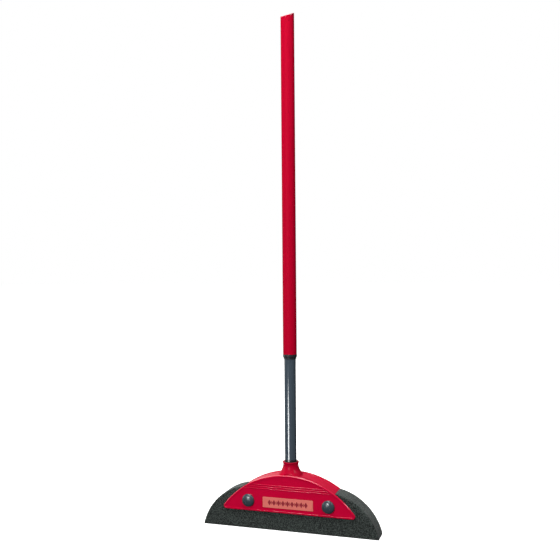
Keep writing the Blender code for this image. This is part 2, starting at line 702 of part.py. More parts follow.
def end_cap():
    """A hollow plug in the tube's slanted end, with a head flush with the tube's outside."""
    plug = OUTER_BORE_RADIUS - SLIDE_GAP
    bore = plug - CAP_WALL
    bottom = HANDLE_TOP_Z - CAP_PLUG_LENGTH
    roof = HANDLE_TOP_Z - CAP_SOLID
    reach = HANDLE_TOP_Z + OUTER_RADIUS
    profile = [(0, reach), (plug, reach), (plug, bottom), (bore, bottom), (bore, roof), (0, roof)]
    body = turned("end_cap", profile, RED_PLASTIC)
    head = rod("cap_head", OUTER_RADIUS, roof, reach)
    combine(head, half_space("below_head", HANDLE_TOP_Z - CAP_HEAD, False), "DIFFERENCE")
    combine(body, head, "UNION")
    combine(body, half_space("above_head", HANDLE_TOP_Z, True), "DIFFERENCE")


def build():
    stud_holes = [stud_hole("stud_hole_left", -STUD_X), stud_hole("stud_hole_right", STUD_X)]
    foam_block(stud_holes)
    bridge(stud_holes)
    socket_washer()
    for end, side in (("front", -1), ("rear", 1)):
        plate(end, side, stud_holes)
        badge(end, side)
    studs("left", -STUD_X)
    studs("right", STUD_X)
    thread_ferrule()
    inner_tube()
    lock_plug()
    lock_stud()
    lock_sleeve()
    lock_cone()
    lock_stop()
    guide_collar()
    outer_tube()
    end_cap()


build()
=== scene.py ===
"""The carpet sweeper's looks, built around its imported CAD. Profiles are in millimetres in the CAD's frame."""

import math

import bmesh
import bpy
import numpy as np
from mathutils import Matrix, Vector, noise

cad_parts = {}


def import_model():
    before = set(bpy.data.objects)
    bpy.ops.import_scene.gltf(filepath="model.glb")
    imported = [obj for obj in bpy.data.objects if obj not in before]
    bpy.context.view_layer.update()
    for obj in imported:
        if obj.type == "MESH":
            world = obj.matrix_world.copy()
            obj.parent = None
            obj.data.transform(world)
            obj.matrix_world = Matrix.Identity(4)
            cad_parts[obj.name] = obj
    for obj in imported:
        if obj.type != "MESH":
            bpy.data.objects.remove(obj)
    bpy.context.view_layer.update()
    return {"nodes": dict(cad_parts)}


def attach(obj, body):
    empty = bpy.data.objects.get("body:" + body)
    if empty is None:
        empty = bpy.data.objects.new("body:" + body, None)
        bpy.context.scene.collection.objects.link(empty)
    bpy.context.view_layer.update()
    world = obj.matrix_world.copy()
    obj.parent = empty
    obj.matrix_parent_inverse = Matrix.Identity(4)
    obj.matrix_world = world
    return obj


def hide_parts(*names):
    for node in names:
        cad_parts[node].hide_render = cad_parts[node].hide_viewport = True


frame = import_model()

MM = 0.001
ARCH_Z = -53.0  # the centre of the band's and the plates' arc
BAND_RADIUS = 154.2
BAND_INNER = 150.7
BAND_HALF_ANGLE = math.radians(34.2)
PLATE_RADIUS = 155.0
PLATE_BOTTOM = 33.3
PLATE_CORNER = 5.0
PLATE_BACK = 19.3
PLATE_FACE = 21.6
RIB_TOPS = (83.0, 79.4, 75.8)
RIB_HEIGHT = 1.6
RIB_DEPTH = 0.7
BADGE_Z = 51.2
BADGE_HALF_WIDTH = 47.5
BADGE_HALF_HEIGHT = 9.5
BADGE_GAP = 0.3
FOAM_HALF = 19.0
FOAM_HALF_WIDTH = 166
FOAM_END_CENTRE = (68.05, -22.5)  # of the arc at the foam's right end
FOAM_END_RADIUS = 100.5
FOAM_FIT = 0.3  # between the foam and what stands in it
FOAM_VOXEL = 0.0015  # in metres, like the next
FOAM_PIT_DEPTH = 0.00045
STUD_X = 75.5
STUD_Z = 52.0
STUD_RADIUS = 11.75
STUD_SEAT = 21.9
NECK_TOP = 123.8
NECK_WAIST = 14.0
NECK_FLARE_WIDTH = 7.9
NECK_FLARE_HEIGHT = 16.8
NECK_FLARE_BOTTOM = 101.2
NECK_FLARE_POWER = 1.75
BORE_FLOOR = 87.0
THREAD_START = 95.5
THREAD_PITCH = 5.0
THREAD_TURNS = 4
THREAD_ROOT = 8.1
THREAD_CREST = 9.6
FERRULE_BORE = 5.5
FERRULE_COLLAR_BOTTOM = 124.1
FERRULE_COLLAR_TOP = 127.1
INNER_TUBE_BOTTOM = 127.4
INNER_TUBE_TOP = 675.0
INNER_TUBE_RADIUS = 10.6
INNER_TUBE_BORE = 10.0
CRIMP_Z = 138.6
CRIMP_REACH = 1.9
CRIMP_DEPTH = 0.55
GUIDE_BOTTOM = 311.5
GUIDE_STEP = 314.6
GUIDE_TOP = 319.4
OUTER_TUBE_RADIUS = 12.5
OUTER_TUBE_BORE = 11.9
SLANT_FROM = 930  # whatever is above this height follows the slanted end
SLANT_ANGLE = math.radians(23.4)
SLANT_TURN = math.radians(-21)
SLANT = Vector(
    (
        math.sin(SLANT_ANGLE) * math.sin(SLANT_TURN),
        -math.sin(SLANT_ANGLE) * math.cos(SLANT_TURN),
        math.cos(SLANT_ANGLE),
    )
)


# Materials


def node(tree, kind, **sockets):
    made = tree.nodes.new(kind)
    for name, value in sockets.items():
        made.inputs[name.replace("_", " ")].default_value = value
    return made


def surface(name, dark, light, roughness, mottle=40.0, grain=900.0, bump=0.1, depth=0.0001,
            stretch=(1, 1, 1), rough_spread=0.06, **sockets):
    """A plastic, painted or metal surface: slow colour and gloss drift, and a fine grain in relief."""
    made = bpy.data.materials.new(name)
    made.use_nodes = True
    tree = made.node_tree
    shader = tree.nodes["Principled BSDF"]
    for socket, value in sockets.items():
        shader.inputs[socket.replace("_", " ")].default_value = value
    where = tree.nodes.new("ShaderNodeTexCoord")
    mapping = node(tree, "ShaderNodeMapping", Scale=stretch)
    tree.links.new(where.outputs["Object"], mapping.inputs["Vector"])
    drift = node(tree, "ShaderNodeTexNoise", Scale=mottle, Detail=4.0, Roughness=0.6)
    fine = node(tree, "ShaderNodeTexNoise", Scale=grain, Detail=3.0, Roughness=0.55)
    for texture in (drift, fine):
        tree.links.new(mapping.outputs["Vector"], texture.inputs["Vector"])
    mix = node(tree, "ShaderNodeMix")
    mix.data_type = "RGBA"
    mix.inputs[6].default_value = (*dark, 1)
    mix.inputs[7].default_value = (*light, 1)
    tree.links.new(drift.outputs["Fac"], mix.inputs[0])
    tree.links.new(mix.outputs[2], shader.inputs["Base Color"])
    gloss = node(tree, "ShaderNodeMapRange")
    gloss.inputs["From Min"].default_value = 0.3
    gloss.inputs["From Max"].default_value = 0.7
    gloss.inputs["To Min"].default_value = roughness - rough_spread
    gloss.inputs["To Max"].default_value = roughness + rough_spread
    tree.links.new(drift.outputs["Fac"], gloss.inputs["Value"])
    tree.links.new(gloss.outputs["Result"], shader.inputs["Roughness"])
    relief = node(tree, "ShaderNodeBump", Strength=bump, Distance=depth)
    tree.links.new(fine.outputs["Fac"], relief.inputs["Height"])
    tree.links.new(relief.outputs["Normal"], shader.inputs["Normal"])
    return made


def foam_surface():
    """Open-cell foam: dark cells between lighter struts, with a soft bloom."""
    made = bpy.data.materials.new("foam_look")
    made.use_nodes = True
    tree = made.node_tree
    shader = tree.nodes["Principled BSDF"]
    shader.inputs["Roughness"].default_value = 0.95
    shader.inputs["Specular IOR Level"].default_value = 0.15
    shader.inputs["Sheen Weight"].default_value = 0.12
    shader.inputs["Sheen Roughness"].default_value = 0.6
    where = tree.nodes.new("ShaderNodeTexCoord")
    cells = node(tree, "ShaderNodeTexVoronoi", Scale=520.0, Randomness=1.0)
    specks = node(tree, "ShaderNodeTexNoise", Scale=520.0, Detail=3.0, Roughness=0.65)
    cloud = node(tree, "ShaderNodeTexNoise", Scale=45.0, Detail=3.0, Roughness=0.6)
    for texture in (cells, specks, cloud):
        tree.links.new(where.outputs["Object"], texture.inputs["Vector"])
    ramp = tree.nodes.new("ShaderNodeValToRGB")
    stops = ramp.color_ramp.elements
    stops[0].position, stops[0].color = 0.43, (0.004, 0.006, 0.0054, 1)
    stops[1].position, stops[1].color = 0.6, (0.07, 0.088, 0.08, 1)
    tree.links.new(specks.outputs["Fac"], ramp.inputs["Fac"])
    tint = node(tree, "ShaderNodeMix")
    tint.data_type = "RGBA"
    tint.blend_type = "MULTIPLY"
    tint.inputs[0].default_value = 0.45
    tree.links.new(ramp.outputs["Color"], tint.inputs[6])
    tree.links.new(cloud.outputs["Fac"], tint.inputs[7])
    tree.links.new(tint.outputs[2], shader.inputs["Base Color"])
    height = node(tree, "ShaderNodeMath")
    height.operation = "ADD"
    tree.links.new(cells.outputs["Distance"], height.inputs[0])
    tree.links.new(specks.outputs["Fac"], height.inputs[1])
    relief = node(tree, "ShaderNodeBump", Strength=0.85, Distance=0.0006)
    tree.links.new(height.outputs["Value"], relief.inputs["Height"])
    tree.links.new(relief.outputs["Normal"], shader.inputs["Normal"])
    return made


RED_PLASTIC = surface(
    "red_plastic_look", (0.47, 0.0004, 0.028), (0.56, 0.0006, 0.036), 0.4, grain=1400.0, bump=0.04,
    depth=0.00008, Specular_IOR_Level=0.02, Coat_Weight=1.0, Coat_Roughness=0.1, Coat_IOR=1.5,
)
RED_GRAINED = surface(
    "red_grained_look", (0.36, 0.0008, 0.02), (0.52, 0.002, 0.035), 0.42, mottle=300.0, grain=620.0,
    bump=0.6, depth=0.0004, Specular_IOR_Level=0.12,
)
RED_NECK = surface(
    "red_neck_look", (0.33, 0.0004, 0.016), (0.42, 0.0008, 0.024), 0.4, mottle=90.0, grain=1400.0,
    bump=0.04, depth=0.00008, Specular_IOR_Level=0.02, Coat_Weight=0.14, Coat_Roughness=0.14,
    Coat_IOR=1.5,
)
RED_PAINT = surface(
    "red_paint_look", (0.38, 0.0004, 0.016), (0.43, 0.0006, 0.02), 0.5, mottle=25.0, grain=700.0,
    bump=0.05, depth=0.0001, rough_spread=0.03, Specular_IOR_Level=0.02,
)
GREY_PAINT = surface(
    "grey_paint_look", (0.046, 0.064, 0.082), (0.056, 0.076, 0.098), 0.14, mottle=30.0, grain=300.0,
    bump=0.003, depth=0.0001, stretch=(1, 1, 0.12), rough_spread=0.02, Specular_IOR_Level=0.5,
)
# Near-black, for the sloped walls of the crimp dimples: painted shade in the dents
DENT_PAINTED_SHADE = surface(
    "dent_painted_shade_look", (0.006, 0.008, 0.01), (0.014, 0.018, 0.023), 0.4, mottle=400.0, grain=900.0,
    bump=0.1, Specular_IOR_Level=0.3,
)
GREY_PLASTIC = surface(
    "grey_plastic_look", (0.03, 0.043, 0.054), (0.042, 0.06, 0.074), 0.24, mottle=90.0, grain=1500.0,
    bump=0.12, depth=0.0001,
)
DARK_PLASTIC = surface(
    "dark_plastic_look", (0.012, 0.014, 0.017), (0.022, 0.026, 0.03), 0.24, mottle=120.0, grain=1300.0,
    bump=0.12, depth=0.0001,
)
PALE_INLAY = surface(
    "pale_inlay_look", (0.62, 0.13, 0.105), (0.74, 0.18, 0.14), 0.45, mottle=60.0, grain=1600.0,
    bump=0.08, depth=0.00006,
)
INLAY_MARK = surface(
    "inlay_mark_look", (0.2, 0.003, 0.012), (0.28, 0.005, 0.02), 0.45, mottle=140.0, grain=1600.0,
    bump=0.08, depth=0.00006,
)
WHITE_PLASTIC = surface(
    "white_plastic_look", (0.58, 0.57, 0.53), (0.7, 0.7, 0.67), 0.48, mottle=70.0, grain=900.0,
    bump=0.1,
)
RUBBER = surface(
    "rubber_look", (0.012, 0.012, 0.012), (0.024, 0.024, 0.024), 0.75, mottle=200.0, grain=1200.0,
    bump=0.25,
)
ZINC = surface(
    "zinc_look", (0.5, 0.5, 0.47), (0.68, 0.68, 0.66), 0.32, mottle=150.0, grain=900.0, bump=0.08,
    Metallic=1.0,
)
FOAM = foam_surface()


# Mesh makers


def rounded(points, radius, closed=False, steps=3):
    """A polyline with its corners turned into arcs. A point's third number is its own radius."""
    made = []
    count = len(points)
    for i, point in enumerate(points):
        here = Vector(point[:2])
        own = point[2] if len(point) > 2 else radius
        if own <= 0 or (not closed and i in (0, count - 1)):
            made.append(tuple(here))
            continue
        before = Vector(points[i - 1][:2]) - here
        after = Vector(points[(i + 1) % count][:2]) - here
        half = before.angle(after) / 2
        if half > 1.56:
            made.append(tuple(here))
            continue
        cut = min(own / math.tan(half), 0.45 * min(before.length, after.length))
        own = cut * math.tan(half)
        centre = here + (before.normalized() + after.normalized()).normalized() * own / math.sin(half)
        first = here + before.normalized() * cut - centre
        last = here + after.normalized() * cut - centre
        start = math.atan2(first.y, first.x)
        turn = math.remainder(math.atan2(last.y, last.x) - start, 2 * math.pi)
        for k in range(steps + 1):
            angle = start + turn * k / steps
            made.append((centre.x + own * math.cos(angle), centre.y + own * math.sin(angle)))
    return made


def piece(name, maker, material):
    """An object from a bmesh whose points are in millimetres."""
    bmesh.ops.recalc_face_normals(maker, faces=maker.faces)
    mesh = bpy.data.meshes.new(name)
    maker.to_mesh(mesh)
    maker.free()
    mesh.transform(Matrix.Scale(MM, 4))
    obj = bpy.data.objects.new(name, mesh)
    bpy.context.scene.collection.objects.link(obj)
    if material:
        mesh.materials.append(material)
    return obj


def slanted(x, y):
    """How far the handle's slanted end lies above its height on the axis."""
    return -(SLANT.x * x + SLANT.y * y) / SLANT.z


def lathe(name, profile, material=None, steps=96, closed=False, radius_at=None, slant_from=math.inf):
    """A shape turned about Z. radius_at(angle, z, radius) may change a point's radius."""
    maker = bmesh.new()
    rings = []
    for radius, z in profile:
        if radius < 1e-6:
            rings.append([maker.verts.new((0, 0, z))])
            continue
        ring = []
        for i in range(steps):
            angle = 2 * math.pi * i / steps
            r = radius_at(angle, z, radius) if radius_at else radius
            x, y = r * math.cos(angle), r * math.sin(angle)
            lift = slanted(x, y) if z >= slant_from else 0
            ring.append(maker.verts.new((x, y, z + lift)))
        rings.append(ring)
    pairs = list(zip(rings, rings[1:]))
    if closed:
        pairs.append((rings[-1], rings[0]))
    for a, b in pairs:
        for i in range(steps):
            j = (i + 1) % steps
            if len(a) == 1:
                maker.faces.new((a[0], b[i], b[j]))
            elif len(b) == 1:
                maker.faces.new((a[i], b[0], a[j]))
            else:
                maker.faces.new((a[i], b[i], b[j], a[j]))
    return piece(name, maker, material)


def sweep(name, loops, material=None):
    """A closed shape through loops of the same number of (x, y, z) points."""
    maker = bmesh.new()
    rings = [[maker.verts.new(point) for point in loop] for loop in loops]
    count = len(rings[0])
    for a, b in zip(rings, rings[1:]):
        for i in range(count):
            j = (i + 1) % count
            maker.faces.new((a[i], a[j], b[j], b[i]))
    maker.faces.new(rings[0])
    maker.faces.new(list(reversed(rings[-1])))
    return piece(name, maker, material)


def combine(body, helper, operation):
    """Joins, cuts or intersects with a helper, which is then removed."""
    boolean = body.modifiers.new("shape", "BOOLEAN")
    boolean.operation = operation
    boolean.solver = "EXACT"
    boolean.object = helper
    settle(body)
    bpy.data.objects.remove(helper)


def settle(obj):
    """Puts what the modifiers make into the mesh."""
    graph = bpy.context.evaluated_depsgraph_get()
    mesh = bpy.data.meshes.new_from_object(obj.evaluated_get(graph))
    obj.modifiers.clear()
    obj.data = mesh


def smooth(obj, angle=35.0):
    """Smooth shading that keeps flat faces flat and sharp edges sharp."""
    obj.data.polygons.foreach_set("use_smooth", [True] * len(obj.data.polygons))
    obj.data.set_sharp_from_angle(angle=math.radians(angle))
    weighted = obj.modifiers.new("weighted_normals", "WEIGHTED_NORMAL")
    weighted.keep_sharp = True


def finished(obj, body, slot, *nodes, angle=35.0):
    """Shades a piece, says what it rides on and hides the CAD parts it stands for. The slot is not used."""
    smooth(obj, angle)
    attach(obj, body)
    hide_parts(*nodes)


def arc(centre, radius, start, end, steps):
    """Points along an arc. Angles are from straight up towards +X."""
    return [
        (
            centre[0] + radius * math.sin(start + (end - start) * i / steps),
            centre[1] + radius * math.cos(start + (end - start) * i / steps),
        )
        for i in range(steps + 1)
    ]


def slab(name, outline, y_from, y_to, material=None):
    """An (x, z) outline made solid between two depths."""
    return sweep(name, [[(x, y, z) for x, z in outline] for y in (y_from, y_to)], material)


def box_outline(half_width, bottom, top):
    return [(-half_width, bottom), (-half_width, top), (half_width, top), (half_width, bottom)]


def stud_holes(body):
    reach, radius = 30.0, 4.3
    turn = Matrix.Rotation(math.pi / 2, 4, "X")
    for x in (-STUD_X, STUD_X):
        hole = lathe("stud_hole", [(0, -reach), (radius, -reach), (radius, reach), (0, reach)], steps=40)
        hole.data.transform(Matrix.Translation((x * MM, 0, STUD_Z * MM)) @ turn)
        combine(body, hole, "DIFFERENCE")


# Foam block


def web_outline(grow, top_radius):
    """The web that hangs from the band and holds the studs, grown on all sides but the top."""
    wide = STUD_X + 8.5 + grow
    narrow = wide - 8
    bottom = STUD_Z - 10 - grow
    shoulder = STUD_Z + 14 + grow
    turn = math.asin(narrow / top_radius)
    left = [(-wide, bottom), (-wide, shoulder - 8), (-narrow, shoulder)]
    right = [(-x, z) for x, z in reversed(left)]
    return left + arc((0, ARCH_Z), top_radius, -turn, turn, 48) + right


def foam_outline():
    """An arc at each end and, between them, the lower arc that lies under the band."""
    centre = Vector(FOAM_END_CENTRE)
    step = BAND_HALF_ANGLE + FOAM_FIT / BAND_RADIUS
    ray = Vector((math.sin(step), math.cos(step)))
    from_centre = Vector((0, ARCH_Z)) - centre
    along = from_centre.dot(ray)
    reach = -along + math.sqrt(along**2 - from_centre.length_squared + FOAM_END_RADIUS**2)
    top = Vector((0, ARCH_Z)) + reach * ray - centre
    first = math.atan2(top.x, top.y)
    last = math.atan2(FOAM_HALF_WIDTH - centre.x, -centre.y)
    right = arc(centre, FOAM_END_RADIUS, first, last, 60)
    left = [(-x, z) for x, z in reversed(right)]
    return left + arc((0, ARCH_Z), BAND_INNER - FOAM_FIT, -step, step, 90) + right


def foam_block():
    """The block is remeshed to an even net, softened, and pitted inwards like cut open-cell foam."""
    foam = slab("foam_fine", foam_outline(), -FOAM_HALF, FOAM_HALF, FOAM)
    combine(foam, slab("slot", web_outline(FOAM_FIT, BAND_RADIUS), -2.3, 2.3), "DIFFERENCE")
    combine(foam, lathe("pocket", [(0, 84.7), (13.5, 84.7), (13.5, 130), (0, 130)]), "DIFFERENCE")
    stud_holes(foam)
    remesh = foam.modifiers.new("net", "REMESH")
    remesh.mode = "VOXEL"
    remesh.voxel_size = FOAM_VOXEL
    settle(foam)
    soften = foam.modifiers.new("soften", "SMOOTH")
    soften.factor = 0.5
    soften.iterations = 2
    settle(foam)
    mesh = foam.data
    count = len(mesh.vertices)
    places = np.empty(count * 3, np.float32)
    mesh.vertices.foreach_get("co", places)
    places = places.reshape(-1, 3)
    normals = np.array([v.normal for v in mesh.vertices], np.float32)
    pits = np.empty(count, np.float32)
    for i, place in enumerate(places):
        spot = Vector(place) * 330
        pits[i] = 0.5 + 0.5 * noise.noise(spot) + 0.35 * noise.noise(spot * 0.31)
    pits = np.clip(pits, 0, 1) ** 2
    places = places - normals * (FOAM_PIT_DEPTH * pits)[:, None]
    mesh.vertices.foreach_set("co", places.ravel())
    if not mesh.materials:
        mesh.materials.append(FOAM)
    mesh.polygons.foreach_set("use_smooth", [True] * len(mesh.polygons))
    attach(foam, "head")
    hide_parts("foam_block")


# Bridge


def ridge(angle, z, clearance, lead=0.0, turns=THREAD_TURNS):
    """The radius of the broom thread, or with a clearance of the groove that takes it."""
    along = (z - THREAD_START) / THREAD_PITCH
    lap = round(along - angle / (2 * math.pi))
    turn = lap + angle / (2 * math.pi)
    inside = min(turn + lead, turns - turn) / 0.08
    away = abs(along - turn) * THREAD_PITCH
    share = min(max((1.1 + clearance - away) / 0.5, 0.0), 1.0)
    share = share * share * (3 - 2 * share) * min(max(inside, 0.0), 1.0)
    return THREAD_ROOT + clearance + (THREAD_CREST - THREAD_ROOT) * share


def neck_profile():
    """A lip at the top, a waist, and a flare that widens down to the band."""
    steps = 20
    flare = [
        (
            NECK_WAIST + NECK_FLARE_WIDTH * (i / steps) ** NECK_FLARE_POWER,
            NECK_FLARE_BOTTOM + NECK_FLARE_HEIGHT * (1 - i / steps),
        )
        for i in range(steps + 1)
    ]
    lip = [(0, NECK_TOP), (14.9, NECK_TOP, 0.7), (14.9, 121.8, 0.5), (NECK_WAIST, 120.9, 0.5), flare[0]]
    foot = [(NECK_WAIST + NECK_FLARE_WIDTH, 99.0), (13.2, 99.0), (13.2, 85.5), (12.7, 85.0), (0, 85.0)]
    return rounded(lip, 0.5) + flare[1:] + foot


def bridge():
    section = rounded(
        [
            (BAND_INNER, -FOAM_HALF, 0.2), (BAND_RADIUS, -FOAM_HALF),
            (BAND_RADIUS, FOAM_HALF), (BAND_INNER, FOAM_HALF, 0.2),
        ],
        0.45, closed=True,
    )
    loops = []
    for i in range(97):
        angle = BAND_HALF_ANGLE * (i / 48 - 1)
        loops.append([(r * math.sin(angle), y, ARCH_Z + r * math.cos(angle)) for r, y in section])
    body = sweep("bridge_fine", loops, RED_GRAINED)
    combine(body, slab("web", web_outline(0, BAND_INNER + 1.75), -2, 2), "UNION")
    neck = lathe("neck", neck_profile(), steps=112)
    combine(neck, slab("width_limit", box_outline(60, 0, 140), -FOAM_HALF, FOAM_HALF), "INTERSECT")
    combine(body, neck, "UNION")
    past_top = 124.5
    rows = [BORE_FLOOR + (past_top - BORE_FLOOR) * i / 100 for i in range(101)]
    cutter = lathe(
        "bore",
        [(0, BORE_FLOOR), *[(THREAD_ROOT + 0.3, z) for z in rows], (0, past_top)],
        steps=60,
        radius_at=lambda angle, z, radius: ridge(angle, z, 0.3, lead=0.06, turns=8),
    )
    combine(body, cutter, "DIFFERENCE")
    seat = rounded([(0, 122.2), (12.6, 122.2, 0.1), (12.6, 123.4, 0.1), (13.2, 124.2), (0, 124.2)], 0)
    combine(body, lathe("seat", seat), "DIFFERENCE")
    stud_holes(body)
    body.data.materials.clear()
    body.data.materials.append(RED_GRAINED)
    body.data.materials.append(RED_NECK)
    for face in body.data.polygons:
        face.material_index = int(face.center.z > (NECK_FLARE_BOTTOM + 0.2) * MM)
    finished(body, "head", "red_grained_plastic", "bridge", angle=38)


# Plates, badges and studs


def plate_outline(inset):
    radius = PLATE_RADIUS - inset
    corner = PLATE_CORNER - inset
    corner_z = PLATE_BOTTOM + PLATE_CORNER
    corner_x = math.sqrt((PLATE_RADIUS - PLATE_CORNER) ** 2 - (corner_z - ARCH_Z) ** 2)
    turn = math.atan2(corner_x, corner_z - ARCH_Z)
    top = arc((0, ARCH_Z), radius, -turn, turn, 110)
    right = arc((corner_x, corner_z), corner, turn, math.pi, 14)
    left = [(-x, z) for x, z in reversed(right)]
    return top[1:-1] + right + left


def rounded_box(half_width, half_height, radius, centre_z, steps=6):
    points = []
    for quarter, (x, z) in enumerate(((1, 1), (1, -1), (-1, -1), (-1, 1))):
        centre = (x * (half_width - radius), centre_z + z * (half_height - radius))
        points += arc(centre, radius, quarter * math.pi / 2, (quarter + 1) * math.pi / 2, steps)
    return points


def plate(end, side):
    """A plate with three ribs and a recess for the badge. steps are the raised rim's (inset, depth)."""
    steps = [
        (0.3, PLATE_BACK), (0.08, 19.4), (0, 19.6), (0, 21.3), (0.06, 21.5), (0.2, 21.7), (0.65, 22.16),
        (0.87, 22.33), (1.1, 22.4), (2.6, 22.4), (2.85, 22.38), (2.96, 22.33), (3.0, 22.24), (3.0, 21.7),
        (3.05, 21.62), (3.15, PLATE_FACE),
    ]
    loops = [[(x, side * y, z) for x, z in plate_outline(inset)] for inset, y in steps]
    body = sweep(f"{end}_plate_fine", loops, RED_PLASTIC)
    half_rib = RIB_HEIGHT / 2
    inside = PLATE_FACE - 0.6
    for top in RIB_TOPS:
        half_chord = math.sqrt((PLATE_RADIUS - 1.5) ** 2 - (top - ARCH_Z) ** 2)
        crown = [
            (top - half_rib + half_rib * math.cos(a), PLATE_FACE + RIB_DEPTH * math.sin(a))
            for a in [math.pi * i / 10 for i in range(11)]
        ]
        section = [(top, inside), *crown, (top - RIB_HEIGHT, inside)]
        loops = [[(x, side * y, z) for z, y in section] for x in (-half_chord, half_chord)]
        combine(body, sweep("rib", loops), "UNION")
    opening = rounded_box(BADGE_HALF_WIDTH + BADGE_GAP, BADGE_HALF_HEIGHT + BADGE_GAP, 1.3, BADGE_Z)
    recess = slab("recess", opening, side * 20.8, side * 30)
    combine(body, recess, "DIFFERENCE")
    stud_holes(body)
    body.data.materials.clear()
    body.data.materials.append(RED_PLASTIC)
    finished(body, "head", "red_plastic", f"{end}_plate", angle=40)


def badge(end, side):
    """An inlay with a generic row of diamonds and bars in relief."""
    steps = [(0.1, 21.1), (0, 21.2), (0, 21.9), (0.06, 22.03), (0.22, 22.1)]
    loops = []
    for inset, y in steps:
        outline = rounded_box(BADGE_HALF_WIDTH - inset, BADGE_HALF_HEIGHT - inset, 1.0, BADGE_Z)
        loops.append([(x, side * y, z) for x, z in outline])
    finished(sweep(f"badge_{end}_fine", loops, PALE_INLAY), "head", "pale_inlay", f"badge_{end}")
    maker = bmesh.new()

    def mark(outline):
        rings = [[maker.verts.new((x, side * y, z)) for x, z in outline] for y in (22.02, 22.18)]
        count = len(outline)
        for i in range(count):
            j = (i + 1) % count
            maker.faces.new((rings[0][i], rings[0][j], rings[1][j], rings[1][i]))
        maker.faces.new(rings[0])
        maker.faces.new(list(reversed(rings[1])))

    diamonds, pitch = 9, 8.6
    for number in range(diamonds):
        x = pitch * (number - diamonds // 2)
        mark([(x - 3.3, BADGE_Z), (x, BADGE_Z + 5.4), (x + 3.3, BADGE_Z), (x, BADGE_Z - 5.4)])
        if number:
            bar = box_outline(0.6, BADGE_Z - 3.0, BADGE_Z + 3.0)
            mark([(x - 4.3 + across, z) for across, z in bar])
    marks = piece(f"badge_{end}_pattern", maker, INLAY_MARK)
    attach(marks, "head")


def studs():
    """Four dome heads. The front ones have a hollow shank, and the rear ones a pin that fills it."""
    turns = [math.pi / 2 * (1 - i / 16) for i in range(17)]
    crown = [(STUD_RADIUS * math.cos(a), 1.2 + 5.3 * math.sin(a)) for a in turns]
    crown[0] = (0, 6.5)
    rim = [(STUD_RADIUS, 0.3), (11.65, 0.08), (11.4, 0)]
    head = [(r, STUD_SEAT + h) for r, h in crown + rim]
    shank_end, pin_end = -21.2, -16.9
    shank = [(4, STUD_SEAT), (4, shank_end + 0.4), (3.6, shank_end), (2.6, shank_end), (2.6, 20.9), (0, 20.9)]
    front = head + shank
    rear = head + [(2.3, STUD_SEAT), (2.3, pin_end + 0.5), (1.8, pin_end), (0, pin_end)]
    for where, x in (("left", -STUD_X), ("right", STUD_X)):
        for end, side, profile in (("front", -1, front), ("rear", 1, rear)):
            stud = lathe(f"{end}_stud_{where}_fine", profile, GREY_PLASTIC, steps=72)
            turn = Matrix.Rotation(-side * math.pi / 2, 4, "X")
            stud.data.transform(Matrix.Translation((x * MM, 0, STUD_Z * MM)) @ turn)
            finished(stud, "head", "grey_plastic", f"{end}_stud_{where}", angle=40)


# Handle


def ferrule():
    """A plug in the tube's lower end, a collar and a shank with the broom thread."""
    shank_top, lead_in, steps = 124.0, 2.2, 124
    length = shank_top - THREAD_START + lead_in
    rows = [THREAD_START - lead_in + length * i / steps for i in range(steps + 1)]
    collar = rounded(
        [
            (9.7, FERRULE_COLLAR_TOP), (10.9, FERRULE_COLLAR_TOP, 0.4), (10.9, 124.9, 0.3),
            (10.1, FERRULE_COLLAR_BOTTOM, 0.3), (9.0, FERRULE_COLLAR_BOTTOM),
            (THREAD_ROOT, FERRULE_COLLAR_BOTTOM),
        ],
        0.2,
    )
    profile = (
        [(FERRULE_BORE, 152.1), (9.4, 152.1), (9.7, 151.7)] + collar
        + [(THREAD_ROOT, z) for z in reversed(rows)] + [(7.5, 92.6), (7.2, 92.5), (FERRULE_BORE, 92.5)]
    )
    made = lathe(
        "thread_ferrule_fine", profile, DARK_PLASTIC, steps=72, closed=True,
        radius_at=lambda angle, z, radius: (
            ridge(angle, z, 0) if radius == THREAD_ROOT and z < shank_top + 0.05 else radius
        ),
    )
    finished(made, "lower_handle", "dark_plastic", "thread_ferrule", angle=40)


def inner_tube():
    """A tube with four dimples where the ferrule is crimped in. The rows are close together there. The dimples'
    sloped walls get a near-black material as painted shade.
    """
    heights = [135.9 + 0.3 * i for i in range(19)] + [300, 500, INNER_TUBE_TOP - 0.2]
    outer = [(10.35, INNER_TUBE_BOTTOM), (INNER_TUBE_RADIUS, INNER_TUBE_BOTTOM + 0.25)]
    outer += [(INNER_TUBE_RADIUS, z) for z in heights] + [(10.45, INNER_TUBE_TOP)]
    profile = outer + [(INNER_TUBE_BORE, z) for z in (INNER_TUBE_TOP, 400, INNER_TUBE_BOTTOM)]
    turns = [math.radians(-110 + 90 * k) for k in range(4)]

    def crimped(angle, z, radius):
        if radius != INNER_TUBE_RADIUS or abs(z - CRIMP_Z) > CRIMP_REACH + 0.3:
            return radius
        across = min(abs(math.remainder(angle - turn, 2 * math.pi)) for turn in turns) * radius
        away = math.hypot(across, z - CRIMP_Z) / CRIMP_REACH
        return radius - CRIMP_DEPTH * min(1.0, 2.2 * max(0.0, 1 - away**2))

    tube = lathe("inner_tube_fine", profile, GREY_PAINT, steps=144, closed=True, radius_at=crimped)
    # A second slot: near-black painted shade for the dimple walls
    tube.data.materials.append(DENT_PAINTED_SHADE)
    for face in tube.data.polygons:
        x, y, z = face.center / MM
        face.material_index = int(10.2 < math.hypot(x, y) < 10.4 and abs(z - CRIMP_Z) < 2)
    finished(tube, "lower_handle", "grey_painted_steel", "inner_tube", angle=50)


